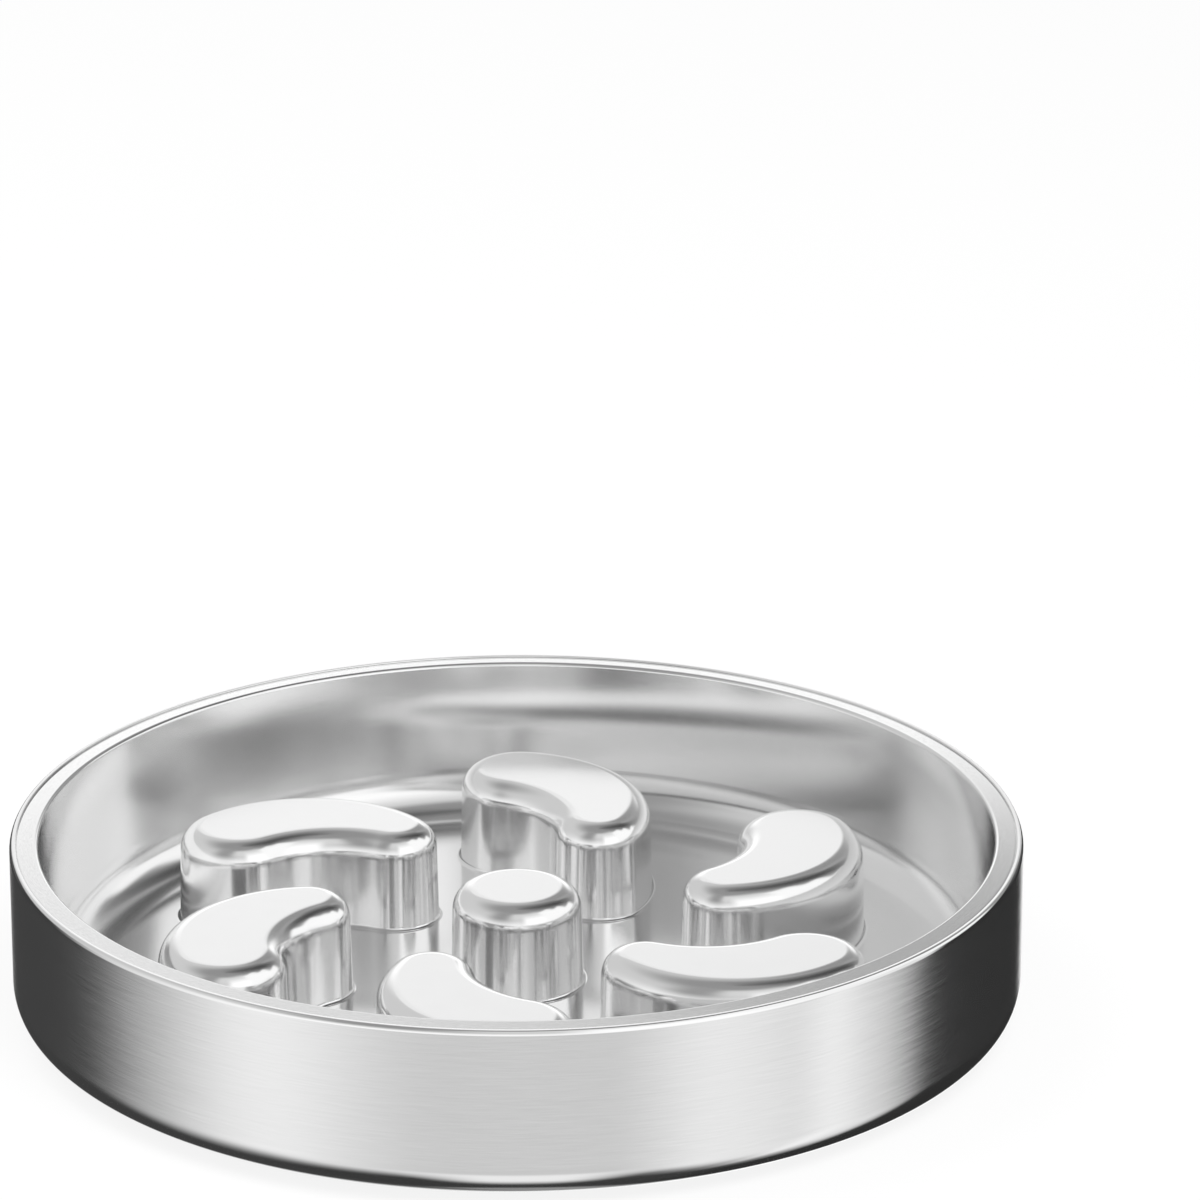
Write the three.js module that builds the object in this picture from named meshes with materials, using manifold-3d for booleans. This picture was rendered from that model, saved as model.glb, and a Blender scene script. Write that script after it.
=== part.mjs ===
// Slow feeder dog bowl: a double-walled stainless bowl with seven raised islands and a rubber foot ring.
// Millimetres, +Z up. The origin is the centre of the bowl's footprint, on the surface it stands on.
import * as THREE from "three";
import { mergeVertices } from "three/addons/utils/BufferGeometryUtils.js";
import Module from "manifold-3d";

// Overall sizes
const outerDiameter = 260; // across the side wall
const steelHeight = 45; // flat base to rim
const ringStand = 2.5; // how far the rubber ring stands below the flat base

// Outer shell, drawn steel
const shellSheet = 0.8;
const baseCornerRadius = 8.2; // side wall to flat base
const rimShoulderRadius = 2; // side wall to rim

// Channel pressed into the base for the rubber ring
const channelInset = 38.4; // side wall to the middle of the channel
const channelWidth = 19.8;
const channelDepth = 2.2;

// Inner liner, drawn steel
const linerSheet = 0.7;
const rimWidth = 7.4; // side wall to the liner's inner wall
const beadRadius = 1.5; // inner edge of the rim
const linerDraft = 3; // how much narrower the dish is at its floor, on the radius
const floorCornerRadius = 12;

// Islands, drawn steel caps on the liner's floor
const islandSheet = 0.8;
const islandDrop = 15.5; // rim down to the flat island tops
const islandCount = 6;
const shoulderWidth = 5; // rounded edge of a cap, seen from above
const shoulderDepth = 6; // rounded edge of a cap, seen from the side
const islandDraft = 1; // how much wider a cap is at its foot, on each side

// Flat top of a comma island: a head and a tail, joined by an outer and an inner arc
const headRadius = 10;
const headReachShare = 0.691; // bowl centre to head centre, out of the dish's radius
const tailRadius = 5.5;
const tailReachShare = 0.444; // bowl centre to tail centre, out of the dish's radius
const tailTurnDegrees = 22.8; // head direction to tail direction, clockwise seen from above
const outerArcEase = 5.4; // outer arc's radius over the smallest that reaches round both ends
const innerArcEase = 19.2; // inner arc's radius over the smallest that touches both ends

// Flat top of the centre island
const centreTopRadius = 10.9;

// Rubber ring and the adhesive under it
const ringSideGap = 0.4; // to each wall of the channel
const ringSideSlope = 1.7; // how much each side leans in over the ring's height
const ringEdgeRadius = 0.6;
const grooveCount = 18;
const grooveWidth = 3; // at the mouth
const grooveFloorWidth = 2;
const grooveDepth = 2.4;
const tapeThickness = 0.4;
const tapeInset = 1.5; // ring's edge to the tape's edge

// Clearances and cutting overrun
const seamGap = 0.3; // rim land to rim shoulder
const cutOverrun = 1;

// How finely round stretches are cut into flats
const turnSteps = 72;
const cornerSteps = 5;
const edgeSteps = 2; // the smallest rounded edges
const shoulderSteps = 4;
const headSteps = 9;
const tailSteps = 7;
const outerArcSteps = 9;
const innerArcSteps = 6;
const centreSteps = 24;

// Heights and radii that follow from the sizes above
const outerRadius = outerDiameter / 2;
const rimZ = ringStand + steelHeight;
const baseZ = ringStand;
const channelOuterRadius = outerRadius - channelInset + channelWidth / 2;
const channelInnerRadius = channelOuterRadius - channelWidth;
const channelZ = baseZ + channelDepth;
const crownZ = channelZ + shellSheet;
const floorZ = crownZ + linerSheet;
const islandZ = rimZ - islandDrop;
const dishRadius = outerRadius - rimWidth;
const headReach = headReachShare * dishRadius;
const tailReach = tailReachShare * dishRadius;
const beadCentreRadius = dishRadius + beadRadius;
const ledgeZ = rimZ - linerSheet;
const shoulderCentreRadius = outerRadius - rimShoulderRadius;
const flangeRadius = shoulderCentreRadius - seamGap;
const ringBackZ = channelZ - tapeThickness;
const quarterTurn = Math.PI / 2;
const halfTurn = Math.PI;
const fullTurn = 2 * Math.PI;

const wasm = await Module();
wasm.setup();

// Profiles are lists of [radius, height] points.
function arc(radiusAt, heightAt, size, from, to, steps) {
  const points = [];
  for (let i = 0; i <= steps; i++) {
    const angle = from + ((to - from) * i) / steps;
    points.push([radiusAt + size * Math.cos(angle), heightAt + size * Math.sin(angle)]);
  }
  return points;
}

// A profile turned about +Z. It starts and ends on the axis, or closes on itself.
function turned(profile) {
  const points = profile.map(([radius, height]) => new THREE.Vector2(radius, height));
  return new THREE.LatheGeometry(points, turnSteps).rotateX(quarterTurn);
}

function closedRing(profile) {
  return turned([...profile, profile[0]]);
}

// Materials
function finish(color, roughness, metalness) {
  return new THREE.MeshStandardMaterial({ color, roughness, metalness });
}

const brushedSteel = finish(0xc4c4c4, 0.32, 1);
const polishedSteel = finish(0xd6d6d6, 0.14, 1);
const charcoalRubber = finish(0x3b3e43, 0.85, 0);
const whiteTape = finish(0xe4e2da, 0.7, 0);

function piece(name, geometry, material) {
  const mesh = new THREE.Mesh(geometry, material);
  mesh.name = name;
  return mesh;
}

// Outer shell: out along the underside, up the wall, over the rim to the ledge, and back inside the sheet
function outerShell() {
  const cornerCentreRadius = outerRadius - baseCornerRadius;
  const cornerCentreZ = baseZ + baseCornerRadius;
  const innerCorner = baseCornerRadius - shellSheet;
  const innerShoulder = rimShoulderRadius - shellSheet;
  const shoulderZ = rimZ - rimShoulderRadius;
  const underLedgeZ = ledgeZ - shellSheet;
  const turnInRadius = shoulderCentreRadius + Math.sqrt(innerShoulder ** 2 - (underLedgeZ - shoulderZ) ** 2);
  const turnInAngle = Math.asin((underLedgeZ - shoulderZ) / innerShoulder);
  return turned([
    [0, baseZ],
    [channelInnerRadius, baseZ],
    [channelInnerRadius, channelZ],
    [channelOuterRadius, channelZ],
    [channelOuterRadius, baseZ],
    ...arc(cornerCentreRadius, cornerCentreZ, baseCornerRadius, -quarterTurn, 0, cornerSteps),
    ...arc(shoulderCentreRadius, shoulderZ, rimShoulderRadius, 0, quarterTurn, cornerSteps),
    [shoulderCentreRadius, ledgeZ],
    [beadCentreRadius, ledgeZ],
    [beadCentreRadius, underLedgeZ],
    [turnInRadius, underLedgeZ],
    ...arc(shoulderCentreRadius, shoulderZ, innerShoulder, turnInAngle, 0, edgeSteps).slice(1),
    ...arc(cornerCentreRadius, cornerCentreZ, innerCorner, 0, -quarterTurn, cornerSteps),
    [channelOuterRadius + shellSheet, baseZ + shellSheet],
    [channelOuterRadius + shellSheet, crownZ],
    [channelInnerRadius - shellSheet, crownZ],
    [channelInnerRadius - shellSheet, baseZ + shellSheet],
    [0, baseZ + shellSheet],
  ]);
}

// Inner liner: out along the underside, up the back of the wall, round the flange and down inside the dish
function innerLiner() {
  const beadZ = rimZ - beadRadius;
  const floorRadius = dishRadius - linerDraft;
  const cornerCentreRadius = floorRadius - floorCornerRadius;
  const cornerCentreZ = floorZ + floorCornerRadius;
  return turned([
    [0, crownZ],
    ...arc(cornerCentreRadius, cornerCentreZ, floorCornerRadius + linerSheet, -quarterTurn, 0, cornerSteps),
    ...arc(beadCentreRadius, beadZ, beadRadius - linerSheet, halfTurn, quarterTurn, edgeSteps),
    [flangeRadius, ledgeZ],
    [flangeRadius, rimZ],
    ...arc(beadCentreRadius, beadZ, beadRadius, quarterTurn, halfTurn, shoulderSteps),
    ...arc(cornerCentreRadius, cornerCentreZ, floorCornerRadius, 0, -quarterTurn, cornerSteps),
    [0, floorZ],
  ]);
}

// Outline of a comma island, counter-clockwise, at an offset outwards from the edge of its flat top
function commaOutline(offset) {
  const tailTurn = THREE.MathUtils.degToRad(tailTurnDegrees);
  const head = new THREE.Vector2(0, headReach);
  const tail = new THREE.Vector2(tailReach * Math.sin(tailTurn), tailReach * Math.cos(tailTurn));
  const along = tail.clone().sub(head);
  const span = along.length();
  along.normalize();
  const across = new THREE.Vector2(along.y, -along.x);
  const centreAt = (toHead, toTail) => {
    const run = (toHead ** 2 - toTail ** 2 + span ** 2) / (2 * span);
    const rise = Math.sqrt(toHead ** 2 - run ** 2);
    return head.clone().addScaledVector(along, run).addScaledVector(across, rise);
  };
  const outerArcRadius = (span + headRadius + tailRadius) / 2 + outerArcEase;
  const innerArcRadius = (span - headRadius - tailRadius) / 2 + innerArcEase;
  const outer = centreAt(outerArcRadius - headRadius, outerArcRadius - tailRadius);
  const inner = centreAt(innerArcRadius + headRadius, innerArcRadius + tailRadius);
  const bearing = (from, to) => Math.atan2(to.y - from.y, to.x - from.x);
  const stretch = (centre, radius, from, to, steps) => {
    const points = [];
    for (let i = 0; i < steps; i++) {
      const angle = from + ((to - from) * i) / steps;
      points.push([centre.x + radius * Math.cos(angle), centre.y + radius * Math.sin(angle)]);
    }
    return points;
  };
  const after = (angle, start) => (angle < start ? angle + fullTurn : angle);
  const tailInner = bearing(tail, inner);
  const outerTail = bearing(outer, tail);
  const outerHead = after(bearing(outer, head), outerTail);
  const headInner = after(bearing(head, inner), outerHead);
  const innerHead = bearing(inner, head);
  const innerTail = bearing(inner, tail);
  return [
    ...stretch(tail, tailRadius + offset, tailInner, after(outerTail, tailInner), tailSteps),
    ...stretch(outer, outerArcRadius + offset, outerTail, outerHead, outerArcSteps),
    ...stretch(head, headRadius + offset, outerHead, headInner, headSteps),
    ...stretch(inner, innerArcRadius - offset, after(innerHead, innerTail), innerTail, innerArcSteps),
  ];
}

function centreOutline(offset) {
  const radius = centreTopRadius + offset;
  const points = [];
  for (let i = 0; i < centreSteps; i++) {
    const angle = (fullTurn * i) / centreSteps;
    points.push([radius * Math.cos(angle), radius * Math.sin(angle)]);
  }
  return points;
}

// A hollow cap over an outline: flat top, rounded edge, slightly spreading wall and an open foot
function cap(outlineAt) {
  const shoulder = (width, depth, top) => {
    const rings = [];
    for (let i = 0; i <= shoulderSteps; i++) {
      const angle = (quarterTurn * i) / shoulderSteps;
      rings.push([width * Math.sin(angle), top - depth * (1 - Math.cos(angle))]);
    }
    return rings;
  };
  const underTopZ = islandZ - islandSheet;
  const levels = [
    ...shoulder(shoulderWidth, shoulderDepth, islandZ),
    [shoulderWidth + islandDraft, floorZ],
    [shoulderWidth + islandDraft - islandSheet, floorZ],
    ...shoulder(shoulderWidth - islandSheet, shoulderDepth - islandSheet, underTopZ).reverse(),
  ];
  const rings = levels.map(([offset]) => outlineAt(offset));
  const count = rings[0].length;
  const positions = levels.flatMap(([, height], k) => rings[k].flatMap(([x, y]) => [x, y, height]));
  const faces = [];
  for (let k = 0; k + 1 < levels.length; k++) {
    for (let i = 0; i < count; i++) {
      const next = (i + 1) % count;
      const upper = k * count;
      const lower = upper + count;
      faces.push(upper + i, lower + i, lower + next, upper + i, lower + next, upper + next);
    }
  }
  const lid = (ring) =>
    THREE.ShapeUtils.triangulateShape(rings[ring].map(([x, y]) => new THREE.Vector2(x, y)), []);
  const last = levels.length - 1;
  const underside = last * count;
  for (const [a, b, c] of lid(0)) {
    faces.push(a, b, c);
  }
  for (const [a, b, c] of lid(last)) {
    faces.push(underside + a, underside + c, underside + b);
  }
  const geometry = new THREE.BufferGeometry();
  geometry.setAttribute("position", new THREE.Float32BufferAttribute(positions, 3));
  geometry.setIndex(faces);
  return geometry;
}

// Solids for cutting
function solid(geometry) {
  const bare = geometry.clone();
  bare.deleteAttribute("normal");
  bare.deleteAttribute("uv");
  const merged = mergeVertices(bare);
  return new wasm.Manifold(
    new wasm.Mesh({
      numProp: 3,
      vertProperties: merged.attributes.position.array,
      triVerts: new Uint32Array(merged.index.array),
    }),
  );
}

function geometryOf(manifold) {
  const mesh = manifold.getMesh();
  const geometry = new THREE.BufferGeometry();
  geometry.setAttribute("position", new THREE.BufferAttribute(mesh.vertProperties, 3));
  geometry.setIndex(new THREE.BufferAttribute(mesh.triVerts, 1));
  return geometry;
}

// Rubber ring: a trapezium section with rounded lower edges, cut by radial grooves on its underside
function nonSlipRing() {
  const backOuter = channelOuterRadius - ringSideGap;
  const backInner = channelInnerRadius + ringSideGap;
  const footOuter = backOuter - ringSideSlope;
  const footInner = backInner + ringSideSlope;
  const edge = (radiusAt, from, to) => arc(radiusAt, ringEdgeRadius, ringEdgeRadius, from, to, edgeSteps);
  const ring = solid(
    closedRing([
      ...edge(footOuter - ringEdgeRadius, -quarterTurn, 0),
      [backOuter, ringBackZ],
      [backInner, ringBackZ],
      ...edge(footInner + ringEdgeRadius, -halfTurn, -quarterTurn),
    ]),
  );
  const slot = new THREE.Shape();
  const spread = ((grooveWidth - grooveFloorWidth) / grooveDepth) * cutOverrun;
  slot.moveTo(-grooveWidth / 2 - spread / 2, -cutOverrun);
  slot.lineTo(grooveWidth / 2 + spread / 2, -cutOverrun);
  slot.lineTo(grooveFloorWidth / 2, grooveDepth);
  slot.lineTo(-grooveFloorWidth / 2, grooveDepth);
  const reach = backOuter - backInner + 2 * cutOverrun;
  const groove = new THREE.ExtrudeGeometry(slot, { depth: reach, bevelEnabled: false });
  groove.rotateX(quarterTurn).rotateZ(halfTurn);
  groove.translate(0, backInner - cutOverrun, 0);
  let cut = ring;
  for (let i = 0; i < grooveCount; i++) {
    const turnedGroove = groove.clone().rotateZ((fullTurn * i) / grooveCount);
    cut = cut.subtract(solid(turnedGroove));
  }
  return geometryOf(cut);
}

function ringTape() {
  const outer = channelOuterRadius - ringSideGap - tapeInset;
  const inner = channelInnerRadius + ringSideGap + tapeInset;
  return closedRing([
    [inner, ringBackZ],
    [outer, ringBackZ],
    [outer, channelZ],
    [inner, channelZ],
  ]);
}

const bowl = new THREE.Group();
bowl.add(piece("outer_shell", outerShell(), brushedSteel));
bowl.add(piece("inner_liner", innerLiner(), polishedSteel));
bowl.add(piece("centre_island", cap(centreOutline), polishedSteel));
for (let i = 0; i < islandCount; i++) {
  const island = piece(`island_${i + 1}`, cap(commaOutline), polishedSteel);
  island.rotation.z = (-fullTurn * i) / islandCount;
  bowl.add(island);
}
bowl.add(piece("non_slip_ring", nonSlipRing(), charcoalRubber));
bowl.add(piece("ring_tape", ringTape(), whiteTape));

export default bowl;
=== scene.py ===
# %% [markdown]
# # A slow feeder bowl in polished and brushed steel
#
# This lesson dresses a plain model of a double-walled feeding bowl: an outer shell, an inner dish, seven
# raised islands that slow the meal down, and a rubber ring that is taped into the base. The plain model
# gives the true sizes. Here every part but the tape gets a finer mesh, and every part gets a finish that is
# worked out from nodes alone. Everything is in metres, with +Z up and the bowl's axis on the world's Z axis.

# %% Load the plain model
import math

import bmesh
import bpy
from mathutils import Matrix, Vector


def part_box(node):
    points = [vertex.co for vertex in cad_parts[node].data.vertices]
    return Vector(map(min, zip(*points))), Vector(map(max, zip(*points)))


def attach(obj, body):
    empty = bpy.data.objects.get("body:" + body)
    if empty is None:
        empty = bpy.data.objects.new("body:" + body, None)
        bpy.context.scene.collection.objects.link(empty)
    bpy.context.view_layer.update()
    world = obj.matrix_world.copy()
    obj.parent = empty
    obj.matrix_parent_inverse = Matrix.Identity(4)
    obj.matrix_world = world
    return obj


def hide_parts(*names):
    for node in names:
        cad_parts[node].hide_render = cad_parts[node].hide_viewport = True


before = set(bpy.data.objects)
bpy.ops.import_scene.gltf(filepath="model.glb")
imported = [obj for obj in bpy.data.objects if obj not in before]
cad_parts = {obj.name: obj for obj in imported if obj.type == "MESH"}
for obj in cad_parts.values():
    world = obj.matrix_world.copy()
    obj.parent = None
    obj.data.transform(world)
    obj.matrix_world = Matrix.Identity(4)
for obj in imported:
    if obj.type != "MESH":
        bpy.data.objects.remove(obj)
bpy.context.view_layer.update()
print("plain parts:", sorted(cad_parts))

# %% [markdown]
# ## Sizes
#
# The boxes of the plain parts give every size that must agree with them: the outside, the rim, the rubber
# ring, the floor of the dish and the tops of the islands. They could be typed in again, but read from the
# boxes they can't drift apart. The other sizes are the radii and gaps of the finer shapes. They are written
# in millimetres, as on a workshop drawing, and MM turns them into metres.

# %% Sizes from the plain model
MM = 0.001

shell_low, shell_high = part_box("outer_shell")
liner_low, liner_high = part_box("inner_liner")
island_low, island_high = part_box("island_1")
centre_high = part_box("centre_island")[1]
ring_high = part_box("non_slip_ring")[1]

outer_radius = shell_high.x
rim_z = shell_high.z
base_z = shell_low.z
crown_z = liner_low.z
floor_z = island_low.z
island_z = island_high.z
print("bowl radius %.1f mm, rim at %.1f mm" % (outer_radius / MM, rim_z / MM))

# %% Sizes of the shell
shell_sheet = 0.8 * MM
base_corner_radius = 8.2 * MM
shoulder_radius = 2 * MM
roll_radius = 0.5 * MM
roll_degrees = 50
lip_radius = 0.15 * MM
inner_shoulder = 1 * MM
channel_side_gap = 0.4 * MM
channel_outer = ring_high.x + channel_side_gap
channel_width = 19.8 * MM
channel_inner = channel_outer - channel_width
channel_z = crown_z - shell_sheet
channel_edge_radius = 0.7 * MM
print("channel from radius %.1f to %.1f mm" % (channel_inner / MM, channel_outer / MM))

# %% Sizes of the liner
liner_sheet = floor_z - crown_z
rim_width = 7.4 * MM
dish_radius = outer_radius - rim_width
bead_radius = 1 * MM
flange_overhang = 0.6 * MM
flange_radius = liner_high.x + flange_overhang
flange_edge_radius = 0.25 * MM
seam = 0.1 * MM
land_fall = 0.4 * MM
liner_draft = 3 * MM
floor_corner_radius = 12 * MM
print("dish radius %.1f mm, flange radius %.1f mm" % (dish_radius / MM, flange_radius / MM))

# %% [markdown]
# ## A pen that draws outlines
#
# Spun and pressed metal starts as an outline: half a section for the bowl, a comma for an island. By hand
# it is drawn in edit mode by extruding one vertex along the straights and spinning it round the bends. This
# pen does the same. A long straight gets a vertex close to each end, which keeps it looking straight when
# the whole piece is shaded smooth.

# %% The pen
HOLD = 0.15 * MM
LONG = 4 * HOLD
MERGE = 0.001 * MM
FRONT = Vector((0, -1, 0))
UP = Vector((0, 0, 1))


def deselect_all():
    bpy.ops.object.select_all(action="DESELECT")


class Pen:
    """Draws an outline by moving one vertex, in a plane that is looked at from the tip of `facing`."""

    def __init__(self, name, start, facing):
        deselect_all()
        bpy.ops.mesh.primitive_plane_add(size=MM)
        self.piece = bpy.context.object
        self.piece.name = name
        self.piece.data.name = name
        self.facing = facing
        self.at = Vector(start)
        bpy.ops.object.mode_set(mode="EDIT")
        bpy.ops.mesh.select_all(action="SELECT")
        bpy.ops.mesh.merge(type="CENTER")
        bpy.ops.transform.translate(value=self.at)

    def step(self, point):
        """Extrudes the vertex straight to a point."""
        move = Vector(point) - self.at
        bpy.ops.mesh.extrude_region_move(TRANSFORM_OT_translate={"value": move})
        self.at = Vector(point)

    def line(self, point):
        """Goes straight to a point, with a holding vertex close to each end of a long stretch."""
        start = self.at
        along = Vector(point) - start
        hold = along.normalized() * HOLD
        if along.length > LONG:
            self.step(start + hold)
            self.step(Vector(point) - hold)
        self.step(point)

    def arc(self, centre, degrees, steps):
        """Turns round a centre, counter-clockwise as seen from the tip of `facing`."""
        angle = math.radians(degrees)
        bpy.ops.mesh.spin(steps=steps, angle=-angle, center=centre, axis=self.facing)
        self.at = Vector(centre) + Matrix.Rotation(angle, 3, self.facing) @ (self.at - Vector(centre))


def at(radius, height):
    """A point of a half section, which lies in the XZ plane."""
    return Vector((radius, 0, height))


# %% [markdown]
# ## Turning a section into a bowl
#
# Spin takes the drawn section once round the axis. The points on the axis and the seam where the turn
# closes are then merged, the normals are pointed outwards, and edges sharper than 35 degrees stay crisp.

# %% The lathe
TURN_STEPS = 192
CRISP_DEGREES = 35


def finish_mesh(piece):
    """Merges doubled points, turns the faces outwards, and shades all but the sharp edges smooth."""
    bpy.ops.mesh.select_all(action="SELECT")
    bpy.ops.mesh.remove_doubles(threshold=MERGE)
    bpy.ops.mesh.normals_make_consistent(inside=False)
    bpy.ops.object.mode_set(mode="OBJECT")
    deselect_all()
    piece.select_set(True)
    bpy.context.view_layer.objects.active = piece
    bpy.ops.object.shade_smooth_by_angle(angle=math.radians(CRISP_DEGREES))
    print(piece.name, len(piece.data.vertices), "points", len(piece.data.polygons), "faces")


def turn(pen):
    """Takes the pen's section once round the bowl's axis."""
    bpy.ops.mesh.select_all(action="SELECT")
    bpy.ops.mesh.spin(steps=TURN_STEPS, angle=math.tau, center=(0, 0, 0), axis=UP)
    finish_mesh(pen.piece)
    return pen.piece


# %% [markdown]
# ## The outer shell
#
# The real shell is one drawn cup of 0.8 mm steel. Its flat base has a pressed channel for the rubber ring,
# and a generous corner leads up to the straight wall. At the top the wall rolls over in a shoulder of two
# radii, first wide and then tight, and ends in a lip beside the liner's flange, with a hair of a seam
# between them. A cylinder with bevels could come close, but a drawn half section gives each bend its own
# radius. The section is closed, outside first and back along the inside, and that gives the sheet its
# thickness.

# %% Draw the outer skin of the shell
CORNER_STEPS = 20
HALF_STEPS = CORNER_STEPS // 2
ROLL_STEPS = 8
SMALL_STEPS = 4

corner_centre = at(outer_radius - base_corner_radius, base_z + base_corner_radius)
roll = math.radians(roll_degrees)
roll_join = outer_radius - shoulder_radius * (1 - math.sin(roll))
roll_centre = at(roll_join - roll_radius * math.sin(roll), rim_z - roll_radius)
shoulder_centre = at(
    outer_radius - shoulder_radius, roll_centre.z - (shoulder_radius - roll_radius) * math.cos(roll)
)
lip_start = flange_radius + seam
ledge_z = rim_z - liner_sheet
bead_centre = at(dish_radius + bead_radius, rim_z - bead_radius)
print("wall straight up to %.1f mm, lip at radius %.1f mm" % (shoulder_centre.z / MM, lip_start / MM))

pen = Pen("shell_drawn", at(0, base_z), FRONT)
pen.line(at(channel_inner - channel_edge_radius, base_z))
pen.arc(at(channel_inner - channel_edge_radius, base_z + channel_edge_radius), 90, SMALL_STEPS)
pen.line(at(channel_inner, channel_z))
pen.line(at(channel_outer, channel_z))
pen.line(at(channel_outer, base_z + channel_edge_radius))
pen.arc(at(channel_outer + channel_edge_radius, base_z + channel_edge_radius), 90, SMALL_STEPS)
pen.line(corner_centre - Vector((0, 0, base_corner_radius)))
pen.arc(corner_centre, 90, CORNER_STEPS)
pen.line(shoulder_centre + Vector((shoulder_radius, 0, 0)))
pen.arc(shoulder_centre, 90 - roll_degrees, HALF_STEPS)
pen.arc(roll_centre, roll_degrees, ROLL_STEPS)
pen.line(at(lip_start + lip_radius, rim_z))
pen.arc(at(lip_start + lip_radius, rim_z - lip_radius), 90, SMALL_STEPS)

# %% Draw the inner skin and turn the shell
inner_corner = base_corner_radius - shell_sheet
inner_wall = outer_radius - shell_sheet
under_ledge_z = ledge_z - shell_sheet

pen.line(at(lip_start, ledge_z))
pen.line(at(bead_centre.x, ledge_z))
pen.line(at(bead_centre.x, under_ledge_z))
pen.line(at(inner_wall - inner_shoulder, under_ledge_z))
pen.arc(at(inner_wall - inner_shoulder, under_ledge_z - inner_shoulder), -90, SMALL_STEPS)
pen.line(corner_centre + Vector((inner_corner, 0, 0)))
pen.arc(corner_centre, -90, HALF_STEPS)
pen.line(at(channel_outer + shell_sheet, base_z + shell_sheet))
pen.line(at(channel_outer + shell_sheet, crown_z))
pen.line(at(channel_inner - shell_sheet, crown_z))
pen.line(at(channel_inner - shell_sheet, base_z + shell_sheet))
pen.line(at(0, base_z + shell_sheet))
shell = turn(pen)

# %% [markdown]
# ## The inner liner
#
# The dish is a second drawn cup. Its wall leans in a little towards the floor, and a rounded bead forms the
# inner edge of the rim. The flange outside the bead lies on the shell's ledge. Its top is the rim's land,
# which falls outwards by a fraction of a millimetre: so small a slope would hardly be measured on the real
# bowl, but it turns the reflection upwards, and that sets the land off from the level tops of the islands.

# %% Draw and turn the liner
liner_corner = at(dish_radius - liner_draft - floor_corner_radius, floor_z + floor_corner_radius)
flange_edge = at(flange_radius - flange_edge_radius, rim_z - land_fall - flange_edge_radius)
print("flange %.2f mm thick at its edge" % ((flange_edge.z + flange_edge_radius - ledge_z) / MM))

pen = Pen("liner_drawn", at(0, crown_z), FRONT)
pen.line(at(liner_corner.x, crown_z))
pen.arc(liner_corner, 90, CORNER_STEPS)
pen.line(at(bead_centre.x - bead_radius + liner_sheet, bead_centre.z))
pen.arc(bead_centre, -90, SMALL_STEPS)
pen.line(at(flange_radius, ledge_z))
pen.line(at(flange_radius, flange_edge.z))
pen.arc(flange_edge, 90, SMALL_STEPS)
pen.line(at(bead_centre.x, rim_z))
pen.arc(bead_centre, 90, HALF_STEPS)
pen.line(liner_corner + Vector((floor_corner_radius, 0, 0)))
pen.arc(liner_corner, -90, CORNER_STEPS)
pen.line(at(0, floor_z))
liner = turn(pen)

# %% [markdown]
# ## A comma island
#
# The six islands are one drawn cap, set round the dish. Seen from above, a cap's flat top is a comma: a big
# head and a small tail, joined by two arcs that touch both. The foot's outline is drawn with the pen and
# filled. Inset then carries that face inwards and upwards in many small moves: out of a small hollow where
# the foot meets the floor, up the leaning wall, and over the rounded edge on to the flat top. A bevel could
# round the edge too, but this edge is deeper than it is wide, and inset gives it exactly.

# %% Sizes of the commas
head_radius = 10 * MM
tail_radius = 5.5 * MM
head_out = 0.691 * dish_radius
tail_out = 0.444 * dish_radius
tail_turn = math.radians(22.8)
head = Vector((0, head_out, 0))
tail = tail_out * Vector((math.sin(tail_turn), math.cos(tail_turn), 0))
span = (tail - head).length
outer_flatness = 5.4 * MM
inner_flatness = 19.2 * MM
outer_arc = (span + head_radius + tail_radius) / 2 + outer_flatness
inner_arc = (span - head_radius - tail_radius) / 2 + inner_flatness
edge_width = 5.8 * MM
edge_depth = 6.4 * MM
foot_spread = 0.4 * MM
foot_fillet = 1 * MM
foot_width = edge_width + foot_spread + foot_fillet
print("comma: head to tail %.1f mm, arcs" % (span / MM), end=" ")
print("%.1f and %.1f mm" % (outer_arc / MM, inner_arc / MM))


def arc_centre(to_head, to_tail):
    """The point at those distances from the head's and the tail's centre, on the comma's hollow side."""
    along = (tail - head).normalized()
    across = Vector((along.y, -along.x, 0))
    run = (to_head**2 - to_tail**2 + span**2) / (2 * span)
    return head + run * along + math.sqrt(to_head**2 - run**2) * across


def bearing(start, end):
    """Degrees counter-clockwise from +X, looking from one point to another."""
    return math.degrees(math.atan2(end.y - start.y, end.x - start.x))


def turn_to(start, end):
    """How far counter-clockwise one bearing lies past another."""
    return (end - start) % 360


# %% Carry a face up into a cap
FOOT_STEPS = 5
EDGE_STEPS = 14
QUARTER = math.radians(90)
PLATE = 0.02 * MM


def cap_levels():
    """(outwards from the flat top's edge, height) of each level of a cap, from its foot to its top."""
    wall_z = island_z - edge_depth
    levels = []
    for k in range(FOOT_STEPS + 1):
        turned = QUARTER * k / FOOT_STEPS
        outwards = foot_width - foot_fillet * math.sin(turned)
        levels.append((outwards, floor_z + PLATE + foot_fillet * (1 - math.cos(turned))))
    levels.append((edge_width + HOLD * foot_spread / edge_depth, wall_z - HOLD))
    for k in range(EDGE_STEPS + 1):
        turned = QUARTER * (1 - k / EDGE_STEPS)
        outwards = edge_width * math.sin(turned)
        levels.append((outwards, island_z - edge_depth * (1 - math.cos(turned))))
    levels.append((-HOLD, island_z))
    return levels


print(len(cap_levels()), "levels from a cap's foot to its top")


def select_end(piece, way):
    """In edit mode, selects only the face that looks most upwards, or downwards where `way` is -1."""
    mesh = bmesh.from_edit_mesh(piece.data)
    bpy.ops.mesh.select_all(action="DESELECT")
    end = max(mesh.faces, key=lambda face: way * (face.calc_center_median().z + face.normal.z))
    end.select_set(True)
    bmesh.update_edit_mesh(piece.data)


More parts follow.
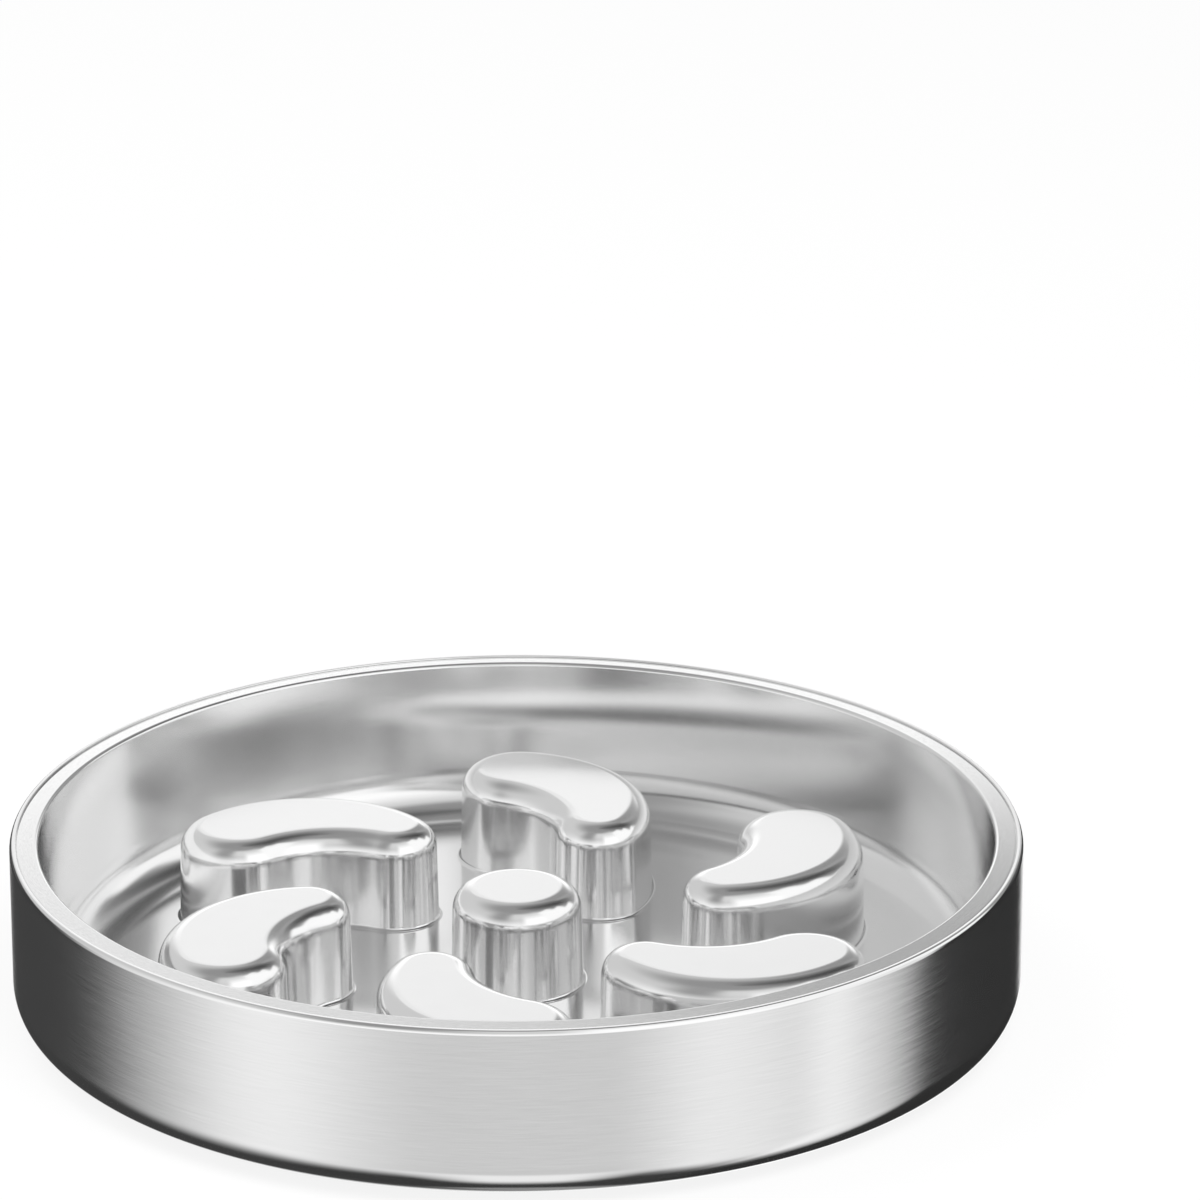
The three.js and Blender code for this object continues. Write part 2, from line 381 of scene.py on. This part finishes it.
def raise_cap(piece):
    """Makes a cap of a piece whose filled outline is open in edit mode."""
    bpy.ops.mesh.extrude_region_move(TRANSFORM_OT_translate={"value": (0, 0, PLATE)})
    bpy.ops.mesh.select_all(action="SELECT")
    bpy.ops.mesh.normals_make_consistent(inside=False)
    select_end(piece, 1)
    levels = cap_levels()
    for (wide, low), (narrow, high) in zip(levels, levels[1:]):
        bpy.ops.mesh.inset(thickness=wide - narrow, depth=high - low)
    finish_mesh(piece)


# %% Draw the comma and raise it
TAIL_STEPS, BULGE_STEPS, HEAD_STEPS, HOLLOW_STEPS = 20, 36, 32, 28
bulge = arc_centre(outer_arc - head_radius, outer_arc - tail_radius)
hollow = arc_centre(inner_arc + head_radius, inner_arc + tail_radius)
begin = bearing(tail, hollow)
toward = Vector((math.cos(math.radians(begin)), math.sin(math.radians(begin)), 0))

pen = Pen("island_drawn_1", tail + (tail_radius + foot_width) * toward + floor_z * UP, UP)
pen.arc(tail, turn_to(begin, bearing(bulge, tail)), TAIL_STEPS)
pen.arc(bulge, turn_to(bearing(bulge, tail), bearing(bulge, head)), BULGE_STEPS)
pen.arc(head, turn_to(bearing(bulge, head), bearing(head, hollow)), HEAD_STEPS)
pen.arc(hollow, -turn_to(bearing(hollow, tail), bearing(hollow, head)), HOLLOW_STEPS)
bpy.ops.mesh.select_all(action="SELECT")
bpy.ops.mesh.remove_doubles(threshold=MERGE)
bpy.ops.mesh.edge_face_add()
raise_cap(pen.piece)
islands = [pen.piece]

# %% Set six islands round the dish
ISLANDS = 6


def copy_turned(piece, name, degrees):
    """A copy with its own mesh, turned about the bowl's axis, clockwise as seen from above."""
    deselect_all()
    piece.select_set(True)
    bpy.context.view_layer.objects.active = piece
    bpy.ops.object.duplicate(linked=False)
    twin = bpy.context.object
    twin.name = name
    twin.data.name = name
    bpy.ops.object.mode_set(mode="EDIT")
    bpy.ops.mesh.select_all(action="SELECT")
    bpy.ops.transform.rotate(value=math.radians(degrees), orient_axis="Z", center_override=(0, 0, 0))
    bpy.ops.object.mode_set(mode="OBJECT")
    return twin


for k in range(1, ISLANDS):
    islands.append(copy_turned(islands[0], "island_drawn_%d" % (k + 1), 360 / ISLANDS * k))
for k, island in enumerate(islands):
    low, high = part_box("island_%d" % (k + 1))
    middle = (low + high) / 2
    print(island.name, "plain middle %.1f, %.1f mm" % (middle.x / MM, middle.y / MM), end=", ")
    xs = [corner.co.x for corner in island.data.vertices]
    ys = [corner.co.y for corner in island.data.vertices]
    print("drawn middle %.1f, %.1f mm" % ((min(xs) + max(xs)) / 2 / MM, (min(ys) + max(ys)) / 2 / MM))

# %% [markdown]
# ## The centre island
#
# The round island in the middle is the same kind of cap. A sphere or a bevelled cylinder could stand for
# it, but the same levels as before, raised from a circle, give it the very edge that its neighbours have.

# %% Raise the centre island
CENTRE_STEPS = 96
top_inset = 6 * MM
centre_top_radius = centre_high.x - top_inset
print("centre island's flat top %.1f mm across" % (2 * centre_top_radius / MM))

deselect_all()
bpy.ops.mesh.primitive_circle_add(
    vertices=CENTRE_STEPS, radius=centre_top_radius + foot_width, fill_type="NGON", location=(0, 0, floor_z)
)
centre = bpy.context.object
centre.name = centre.data.name = "centre_drawn"
bpy.ops.object.transform_apply(location=True)
bpy.ops.object.mode_set(mode="EDIT")
bpy.ops.mesh.select_all(action="SELECT")
raise_cap(centre)

# %% [markdown]
# ## The rubber ring
#
# The real ring is moulded in one piece: a flat back that is glued into the channel, sides that lean in, and
# eighteen grooves across its foot that let air and water out. A spun section with a Boolean cut gives that,
# and a small bevel rounds every cut edge as a mould does. The turn has 180 steps, so that each groove lies
# the same way between them and no cut leaves a sliver.

# %% Turn the ring
GROOVES = 18
STEPS_PER_GROOVE = 10
side_slope = 1.7 * MM
foot_edge = 0.6 * MM
foot_outer = ring_high.x - side_slope
back_inner = channel_inner + channel_side_gap
foot_inner = back_inner + side_slope

pen = Pen("ring_moulded", at(foot_inner + foot_edge, 0), FRONT)
pen.line(at(foot_outer - foot_edge, 0))
pen.arc(at(foot_outer - foot_edge, foot_edge), 90, SMALL_STEPS)
pen.line(at(ring_high.x, ring_high.z))
pen.line(at(back_inner, ring_high.z))
pen.line(at(foot_inner, foot_edge))
pen.arc(at(foot_inner + foot_edge, foot_edge), 90, SMALL_STEPS)
bpy.ops.mesh.select_all(action="SELECT")
bpy.ops.mesh.spin(steps=STEPS_PER_GROOVE * GROOVES, angle=math.tau, center=(0, 0, 0), axis=UP)
finish_mesh(pen.piece)
ring = pen.piece

# %% Shape one groove cutter
groove_mouth = 3 * MM
groove_floor = 2 * MM
groove_depth = 2.4 * MM
overrun = 1 * MM
print("groove %.1f mm wide at its mouth, %.1f mm at its floor" % (groove_mouth / MM, groove_floor / MM))

deselect_all()
middle = (ring_high.x + back_inner) / 2
bpy.ops.mesh.primitive_cube_add(size=1, location=(middle, 0, groove_depth / 2))
cutter = bpy.context.object
cutter.scale = (ring_high.x - back_inner + 2 * overrun, groove_mouth, groove_depth)
bpy.ops.object.transform_apply(location=True, scale=True)
bpy.ops.object.mode_set(mode="EDIT")
select_end(cutter, 1)
bpy.ops.transform.resize(value=(1, groove_floor / groove_mouth, 1))
select_end(cutter, -1)
widening = 1 + (groove_mouth - groove_floor) / groove_depth * overrun / groove_mouth
bpy.ops.transform.translate(value=(0, 0, -overrun))
bpy.ops.transform.resize(value=(1, widening, 1))
bpy.ops.object.mode_set(mode="OBJECT")

# %% Set the cutters round the ring
pitch = 360 / GROOVES
cutters = [copy_turned(cutter, "cutter_%d" % k, pitch / 2 + pitch * k) for k in range(GROOVES)]
bpy.data.objects.remove(cutter)
deselect_all()
for tool in cutters:
    tool.select_set(True)
bpy.context.view_layer.objects.active = cutters[0]
bpy.ops.object.join()
cutter = cutters[0]
print(GROOVES, "cutters, %.0f degrees apart" % pitch)

# %% Cut the grooves and round their edges
groove_edge = 0.3 * MM
BEVEL_DEGREES = 40

cut = ring.modifiers.new("grooves", "BOOLEAN")
cut.operation = "DIFFERENCE"
cut.solver = "EXACT"
cut.object = cutter
soften = ring.modifiers.new("moulded_edges", "BEVEL")
soften.width = groove_edge
soften.segments = 2
soften.limit_method = "ANGLE"
soften.angle_limit = math.radians(BEVEL_DEGREES)
deselect_all()
ring.select_set(True)
bpy.context.view_layer.objects.active = ring
for modifier in ("grooves", "moulded_edges"):
    bpy.ops.object.modifier_apply(modifier=modifier)
bpy.data.objects.remove(cutter)
bpy.ops.object.mode_set(mode="EDIT")
finish_mesh(ring)

# %% [markdown]
# ## Which plain part each piece stands for
#
# Nothing on a bowl moves, so every piece rides on the one body, root. A piece that replaces a plain part
# hides it, and the plain part stays behind for the physics. The ring of foam tape isn't replaced, because
# its plain shape is right: it only gets a finish further down.

# %% Hand the pieces over
dressed = [
    (shell, "outer_shell", "brushed_shell"),
    (liner, "inner_liner", "polished_liner"),
    (centre, "centre_island", "polished_island"),
    (ring, "non_slip_ring", "charcoal_rubber"),
]
for k, island in enumerate(islands):
    dressed.append((island, "island_%d" % (k + 1), "polished_island"))
for piece, plain, slot in dressed:
    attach(piece, "root")
    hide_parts(plain)
    print(piece.name, "stands for", plain)

# %% [markdown]
# ## Shader sums in plain Python
#
# A finish is a sum of patterns. This small class wraps a node's output, so that a sum written with plus,
# minus and times adds the Math nodes. One method adds any other node: its settings come first, because some
# of them change its sockets, and then its sockets are filled or linked.

# %% The wire class
class Wire:
    """An output of a shader node, or an empty end of a node tree to start from."""

    def __init__(self, tree, socket=None):
        self.tree = tree
        self.socket = socket

    def node(self, kind, settings=None, values=None, out=0):
        made = self.tree.nodes.new("ShaderNode" + kind)
        for name, setting in (settings or {}).items():
            setattr(made, name, setting)
        for name, value in (values or {}).items():
            if isinstance(value, Wire):
                self.tree.links.new(value.socket, made.inputs[name])
            else:
                made.inputs[name].default_value = value
        return Wire(self.tree, made.outputs[out])

    def beside(self, out):
        """Another output of the same node."""
        return Wire(self.tree, self.socket.node.outputs[out])

    def math(self, operation, *terms):
        return self.node("Math", {"operation": operation}, dict(enumerate(terms)))

    def __add__(self, other):
        return self.math("ADD", self, other)

    def __sub__(self, other):
        return self.math("SUBTRACT", self, other)

    def __rsub__(self, other):
        return self.math("SUBTRACT", other, self)

    def __mul__(self, other):
        return self.math("MULTIPLY", self, other)

    def __truediv__(self, other):
        return self.math("DIVIDE", self, other)

    def __pow__(self, other):
        return self.math("POWER", self, other)

    def __abs__(self):
        return self.math("ABSOLUTE", self)

    def __neg__(self):
        return self * -1

    __radd__ = __add__
    __rmul__ = __mul__

    def fade(self, zero_at, one_at):
        """0 at one value, 1 at the other, and a smooth change between them."""
        values = {"Value": self, "From Min": zero_at, "From Max": one_at}
        return self.node("MapRange", {"interpolation_type": "SMOOTHSTEP"}, values)

    def between(self, low, high, soft):
        """1 between two values, fading over a width that is centred on each."""
        return self.fade(low - soft / 2, low + soft / 2) * self.fade(high + soft / 2, high - soft / 2)


# %% [markdown]
# ## Patterns that follow the lathe
#
# Brushing and spinning leave fine lines that run round the bowl's axis. A picture of such lines would have
# to be wrapped on, and would show a seam. Noise needs no wrapping. Along the flat base the lines lie side
# by side in the radius, and up the wall they lie one above another. Radius plus height grows steadily along
# both, so one noise that is stretched round the axis draws the lines on the whole bowl.

# %% Places on the bowl, and lines round it
def new_finish(name):
    """A material that is empty but for its output, and a wire to start from."""
    finish = bpy.data.materials.new(name)
    finish.use_nodes = True
    finish.node_tree.nodes.clear()
    return finish, Wire(finish.node_tree)


def place_on(wire):
    """Radius and height in metres, then how far east and north a point lies, as shares of its radius."""
    split = wire.node("SeparateXYZ", None, {"Vector": wire.node("TexCoord", out="Object")})
    x, y, z = split, split.beside("Y"), split.beside("Z")
    radius = (x * x + y * y) ** 0.5
    never_zero = radius + 0.1 * MM
    return radius, z, x / never_zero, y / never_zero


def lines_round(wire, place, per_turn, width, detail=2.0):
    """Noise from -0.5 to 0.5 that is drawn out round the axis: about `per_turn` lines end to end in a turn,
    each `width` across."""
    radius, z, east, north = place
    along = per_turn / math.tau
    values = {"X": east * along, "Y": north * along, "Z": (radius + z) / width}
    vector = wire.node("CombineXYZ", None, values)
    return wire.node("TexNoise", None, {"Vector": vector, "Scale": 1.0, "Detail": detail}) - 0.5


def grey(wire, tone):
    return wire.node("CombineColor", None, {"Red": tone, "Green": tone, "Blue": tone})


def close_finish(wire, shader):
    made = wire.tree.nodes.new("ShaderNodeOutputMaterial")
    wire.tree.links.new(shader.socket, made.inputs["Surface"])
    print("finish of", len(wire.tree.nodes), "nodes")


# %% [markdown]
# ## Brushed steel for the shell
#
# The wall and the base are brushed round the axis. The bends are polished: the corner at the base and the
# shoulder at the rim. All of it is one sheet of steel, so one material changes its roughness by place.
#
# Brushing draws a reflection out across the lines, up and down on the wall and outwards from the middle on
# the base. Anisotropy does that. It treats all the lines alike, though, and on the real wall each stroke
# leans a little to one side, so that a dark reflection ends in streaks where it meets a light one. Turning
# the surface's normal sideways by up to two degrees, line by line, gives those streaks.

# %% Where the shell is brushed
CORNER_BLEND = 1 * MM
SHOULDER_BLEND = 0.2 * MM
brushed_steel, wire = new_finish("brushed_steel")
place = place_on(wire)
radius, z, east, north = place
beyond = radius.fade(corner_centre.x - CORNER_BLEND, corner_centre.x + CORNER_BLEND)
below = z.fade(corner_centre.z + CORNER_BLEND, corner_centre.z - CORNER_BLEND)
shoulder = z.fade(shoulder_centre.z - SHOULDER_BLEND, shoulder_centre.z + SHOULDER_BLEND)
brushed = 1 - (beyond * below + shoulder)
print("wall brushed from %.1f to %.1f mm" % (corner_centre.z / MM, shoulder_centre.z / MM))

# %% The lines of the brush
FINE_SHARE = 0.9
BROAD_SHARE = 0.3
fine = lines_round(wire, place, per_turn=90, width=0.22 * MM)
broad = lines_round(wire, place, per_turn=24, width=0.8 * MM)
lines = (fine * FINE_SHARE + broad * BROAD_SHARE) * brushed

# %% The strokes that lean sideways
SWAY = 0.065
sway = lines_round(wire, place, per_turn=60, width=0.24 * MM) * brushed * SWAY
sideways = wire.node("CombineXYZ", None, {"X": north * sway, "Y": -(east * sway)})
level = wire.node("NewGeometry", out="Normal")
leaning = wire.node("VectorMath", {"operation": "ADD"}, {0: level, 1: sideways})
print("strokes lean up to %.1f degrees" % math.degrees(SWAY / 2))

# %% The shell's finish
SHELL_TONE = 0.87
LINE_TONE = 0.1
LINE_ROUGHNESS = 0.1
POLISHED_ROUGHNESS = 0.1
BRUSHED_ROUGHNESS = 0.2
QUARTER_TURN = 0.25
rougher = BRUSHED_ROUGHNESS - POLISHED_ROUGHNESS


def bump(wire, height, strength, depth, normal=None):
    """The surface's normal, turned as if `height` raised the surface, by up to `depth`."""
    values = {"Height": height, "Strength": strength, "Distance": depth}
    if normal is not None:
        values["Normal"] = normal
    return wire.node("Bump", None, values)


steel = wire.node("BsdfPrincipled", None, {
    "Base Color": grey(wire, SHELL_TONE + lines * LINE_TONE),
    "Metallic": 1.0,
    "Roughness": POLISHED_ROUGHNESS + brushed * rougher + lines * LINE_ROUGHNESS,
    "Anisotropic": 0.7,
    "Anisotropic Rotation": QUARTER_TURN,
    "Normal": bump(wire, lines, strength=0.12, depth=0.05 * MM, normal=leaning),
})
close_finish(wire, steel)

# %% [markdown]
# ## Polished steel for the liner and the islands
#
# The dish and the islands are polished after they are drawn. A roughness of nothing would look like chrome
# plate. Washed steel has a slight haze, and a soft noise in its tone and its roughness gives that. The
# rim's land is the one place that is ground instead: it has a satin grain, short and fine, which the finish
# adds between the bead and the flange's edge.

# %% Where the liner is ground
LAND_BLEND = 0.1 * MM
BEAD_BLEND = 0.5 * MM
FLANGE_BLEND = 0.4 * MM
dish_steel, wire = new_finish("dish_steel")
place = place_on(wire)
radius, z = place[:2]
land_low = rim_z - land_fall
land_end = flange_radius - FLANGE_BLEND
land = z.fade(land_low - LAND_BLEND, land_low)
land = land * radius.fade(bead_centre.x, bead_centre.x + BEAD_BLEND)
land = land * radius.fade(land_end, land_end - FLANGE_BLEND)
print("land ground from radius %.1f to %.1f mm" % (bead_centre.x / MM, land_end / MM))

# %% The liner's finish
POLISHED_TONE, LAND_LIFT, HAIR_TONE, GRAIN_TONE = 0.88, 0.02, 0.04, 0.15
HAZY_ROUGHNESS, HAIR_ROUGHNESS, LAND_ROUGHNESS = 0.15, 0.04, 0.08
hair = lines_round(wire, place, per_turn=90, width=0.3 * MM)
grain = lines_round(wire, place, per_turn=500, width=0.3 * MM, detail=1.0) * land
steel = wire.node("BsdfPrincipled", None, {
    "Base Color": grey(wire, POLISHED_TONE + land * LAND_LIFT + hair * HAIR_TONE + grain * GRAIN_TONE),
    "Metallic": 1.0,
    "Roughness": HAZY_ROUGHNESS + hair * HAIR_ROUGHNESS + land * LAND_ROUGHNESS,
    "Normal": bump(wire, grain, strength=0.1, depth=0.05 * MM),
})
close_finish(wire, steel)

# %% The islands' finish
ISLAND_TONE, HAZE_TONE, HAZE_ROUGHNESS = 0.92, 0.03, 0.05


def patches(wire, size, detail, roughness=0.5):
    """Noise from -0.5 to 0.5, in patches about `size` across."""
    spot = wire.node("TexCoord", out="Object")
    values = {"Vector": spot, "Scale": 1 / size, "Detail": detail, "Roughness": roughness}
    return wire.node("TexNoise", None, values) - 0.5


island_steel, wire = new_finish("island_steel")
haze = patches(wire, size=8 * MM, detail=3.0)
steel = wire.node("BsdfPrincipled", None, {
    "Base Color": grey(wire, ISLAND_TONE + haze * HAZE_TONE),
    "Metallic": 1.0,
    "Roughness": HAZY_ROUGHNESS + haze * HAZE_ROUGHNESS,
})
close_finish(wire, steel)

# %% [markdown]
# ## Rubber and foam tape
#
# The ring comes from a mould with an etched face, which gives charcoal rubber its pebbles. A fine noise
# makes them, and the same noise feeds the bump and the tone: the pits are painted darker than the tops,
# as painted shade in the pits. A broad noise adds the wear of use. The grey has a touch of blue. The tape
# behind the ring is pale foam, and the rounded cells of a Voronoi texture are what foam looks like where
# it is cut.

# %% The ring's finish
RUBBER_TONE, PAINTED_PIT_SHADE, WEAR_TONE = 0.085, 0.11, 0.02
RUBBER_ROUGHNESS, PEBBLE_ROUGHNESS = 0.75, 0.3
RED_SHARE, BLUE_SHARE = 0.97, 1.08
pebbled_rubber, wire = new_finish("pebbled_rubber")
pebbles = patches(wire, size=0.6 * MM, detail=1.5, roughness=0.6)
wear = patches(wire, size=17 * MM, detail=2.0)
# Painted shade: the pebble noise darkens the pits between the pebbles in the rubber's tone.
shade = RUBBER_TONE + pebbles * PAINTED_PIT_SHADE + wear * WEAR_TONE
charcoal = wire.node("CombineColor", None, {
    "Red": shade * RED_SHARE, "Green": shade, "Blue": shade * BLUE_SHARE})
rubber = wire.node("BsdfPrincipled", None, {
    "Base Color": charcoal,
    "Roughness": RUBBER_ROUGHNESS + pebbles * PEBBLE_ROUGHNESS,
    "Normal": bump(wire, pebbles, strength=0.6, depth=0.15 * MM),
})
close_finish(wire, rubber)

# %% The tape's finish
FOAM_CELL = 0.4 * MM
FOAM_TONE, CELL_TONE = 0.72, 0.12
foam_tape, wire = new_finish("foam_tape")
spot = wire.node("TexCoord", out="Object")
cells = wire.node("TexVoronoi", None, {"Vector": spot, "Scale": 1 / FOAM_CELL})
foam = wire.node("BsdfPrincipled", None, {
    "Base Color": grey(wire, FOAM_TONE + cells * CELL_TONE),
    "Roughness": 0.8,
    "Normal": bump(wire, cells, strength=0.4, depth=0.1 * MM),
})
close_finish(wire, foam)

# %% Put the finishes on
for piece, finish in [
    (shell, brushed_steel), (liner, dish_steel), (centre, island_steel), (ring, pebbled_rubber),
    (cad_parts["ring_tape"], foam_tape),
] + [(island, island_steel) for island in islands]:
    piece.data.materials.clear()
    piece.data.materials.append(finish)
    print(piece.name, "is finished in", finish.name)

# %% [markdown]
# ## The studio
#
# Polished steel has no look of its own: it shows the room. So the world is made as a photographer's studio,
# of soft white screens and dark flags that stand round the bowl. Each panel has a bearing as seen from the
# bowl, 0 towards the camera, 90 to the right and 180 behind, and a height in degrees above the horizon. A
# later panel covers the ones before it, and its softness is the width over which its edge fades. Big lamps
# and cards could do the same, but they would stand nearer to one side of the bowl than to the other, and
# add noise.
#
# Only reflections see the panels. The camera sees plain white, and matt surfaces get one plain light, so
# Cycles needn't sample the world as it samples a lamp.

# %% Bearings and heights in the world
scene = bpy.context.scene
scene.view_settings.view_transform = "Standard"
world = bpy.data.worlds.new("studio")
scene.world = world
world.use_nodes = True
world.node_tree.nodes.clear()
world.cycles.sampling_method = "NONE"
air = Wire(world.node_tree)
split = air.node("SeparateXYZ", None, {"Vector": air.node("TexCoord", out="Generated")})
east, north, up = split, split.beside("Y"), split.beside("Z")
DEGREES = 180 / math.pi
bearing_seen = air.math("ARCTAN2", east, -north) * DEGREES
height_seen = air.math("ARCSINE", up) * DEGREES

# %% The panels
ALL_ROUND = 180
PANELS = [
    # name; bearing of the middle, half the width, softness; height from, to, softness; tone
    ("ceiling", 0, ALL_ROUND, 0, 57, 120, 34, 0.30),
    ("front left screen", -35, 20, 33, -5, 71, 8, 0.33),
    ("front high screen", 24, 36, 20, 38, 63, 12, 0.72),
    ("right softbox", 69, 54, 14, -12, 45, 32, 1.15),
    ("right flag", 124, 36, 82, 10, 86, 94, 0.02),
    ("right softbox high", 74, 18, 12, 12, 57, 6, 1.05),
    ("right softbox middle", 94, 16, 8, 12, 44, 6, 1.05),
    ("right softbox low", 113, 15, 8, 5, 25, 6, 1.05),
    ("behind white", 178, 18, 22, -15, 23, 18, 1.24),
    ("below", 0, ALL_ROUND, 0, -120, -15, 12, 0.045),
    ("behind below", 180, 20, 12, -82, -16, 14, 0.30),
    ("left strip", -25, 59, 80, -45, 19, 42, 1.15),
    ("front strip", 3, 25, 32, -70, -8, 24, 0.94),
    ("front card", 2, 46, 64, -38, -7, 10, 0.64),
    ("right strip", 73, 27, 26, -55, -15, 28, 0.85),
    ("right streak", 46, 13, 24, -48, -8, 18, 0.92),
    ("far right streak", 76, 6, 13, -56, -10, 30, 1.0),
    ("back strip", 179, 14, 8, -50, 10, 16, 1.25),
    ("right low flag", 135, 31, 9, -70, 5, 9, 0.03),
    ("left low flag", -141, 32, 30, -70, 5, 9, 0.05),
    ("behind low flag", 180, 40, 10, -10, 6, 6, 0.10),
    ("behind right flag", 158, 16, 6, 19, 45, 8, 0.36),
    ("behind left card", -173, 9, 6, 25, 35, 5, 0.9),
    ("behind right high flag", 164, 11, 8, 26, 44, 8, 0.3),
]

# %% Lay the panels one over another
ROOM = 0.64
light = ROOM
for name, middle, half, soft, low, high, rise, tone in PANELS:
    mask = height_seen.between(low, high, rise)
    if half < ALL_ROUND:
        away = abs(air.math("WRAP", bearing_seen - middle, ALL_ROUND, -ALL_ROUND))
        mask = mask * away.fade(half + soft / 2, half - soft / 2)
    light = mask * (tone - light) + light
    light.socket.node.label = name
tones = [panel[-1] for panel in PANELS]
print(len(PANELS), "panels, tones from", min(tones), "to", max(tones))

# %% What each kind of ray sees
PLAIN_LIGHT = 0.55
camera_ray = air.node("LightPath", out="Is Camera Ray")
glossy = camera_ray.beside("Is Glossy Ray")
seen = camera_ray + glossy + camera_ray.beside("Is Transmission Ray")
white_or_panels = 1 - glossy * (1 - light)
tone = seen * white_or_panels + (1 - seen) * PLAIN_LIGHT
backdrop = air.node("Background", None, {"Color": grey(air, tone)})
made = air.tree.nodes.new("ShaderNodeOutputWorld")
air.tree.links.new(backdrop.socket, made.inputs["Surface"])
print("world of", len(air.tree.nodes), "nodes")

# %% [markdown]
# ## The floor and the lamps
#
# The floor is a pale matt disc that takes the bowl's shadow. To the camera it is mixed with plain white
# light, so that it fades into the background. Seen from below it is clear, and the base can be looked at.
# The steel doesn't mirror it, because the lower panels already stand for it.
#
# Two round lamps, a key and a fill, light the rubber and draw the soft shadow. They are kept out of
# reflections, because the panels are what the steel should show.

# %% The floor
FLOOR_RADIUS = 3
FLOOR_STEPS = 64
FLOOR_WHITE = 0.85
WHITE = (1, 1, 1, 1)
PALE = (0.9, 0.9, 0.9, 1)
deselect_all()
bpy.ops.mesh.primitive_circle_add(
    vertices=FLOOR_STEPS, radius=FLOOR_RADIUS, fill_type="NGON", location=(0, 0, 0)
)
floor = bpy.context.object
floor.name = "pale_floor"
pale, wire = new_finish("pale_floor")
camera_ray = wire.node("LightPath", out="Is Camera Ray")
white = wire.node("Emission", None, {"Color": WHITE, "Strength": 1.0})
matt = wire.node("BsdfDiffuse", None, {"Color": PALE})
lifted = wire.node("MixShader", None, {0: camera_ray * FLOOR_WHITE, 1: matt, 2: white})
from_below = wire.node("NewGeometry", out="Backfacing")
one_sided = wire.node("MixShader", None, {0: from_below, 1: lifted, 2: wire.node("BsdfTransparent")})
close_finish(wire, one_sided)
floor.data.materials.append(pale)
floor.visible_glossy = False
floor.visible_diffuse = False
floor.visible_shadow = False
print("floor %d m across" % (2 * FLOOR_RADIUS))

# %% The lamps
def add_lamp(name, place, size, watts):
    """A round lamp that faces the bowl from a place in metres, and isn't seen in reflections."""
    data = bpy.data.lights.new(name, "AREA")
    data.shape = "DISK"
    data.size = size
    data.energy = watts
    lamp = bpy.data.objects.new(name, data)
    lamp.location = place
    lamp.rotation_euler = (-Vector(place)).to_track_quat("-Z", "Y").to_euler()
    lamp.visible_glossy = False
    scene.collection.objects.link(lamp)
    print("%s %.1f m from the bowl" % (name, lamp.location.length))


add_lamp("key_lamp", place=(0.6, -0.9, 1.6), size=1.2, watts=22)
add_lamp("fill_lamp", place=(-0.9, 0.3, 1.4), size=1.4, watts=12)

# %% [markdown]
# ## The camera
#
# The view is a long lens from a little above: 209 mm on a 36 mm sensor, nearly twenty degrees down. A long
# lens from far away keeps the bowl's far side nearly as large as its near side, as in a catalogue picture.

# %% Place the camera
SENSOR_WIDTH = 36
LENS_LENGTH = 209
LOOKING_DOWN = 19.9313
camera_data = bpy.data.cameras.new("camera")
camera_data.sensor_width = SENSOR_WIDTH
camera_data.lens = LENS_LENGTH
camera = bpy.data.objects.new("camera", camera_data)
camera.location = (0.021373, -1.661923, 0.71294)
camera.rotation_euler = (math.radians(90 - LOOKING_DOWN), 0, 0)
print("camera %.2f m from the bowl's axis, %.1f degrees down" % (-camera.location.y, LOOKING_DOWN))
scene.collection.objects.link(camera)
scene.camera = camera
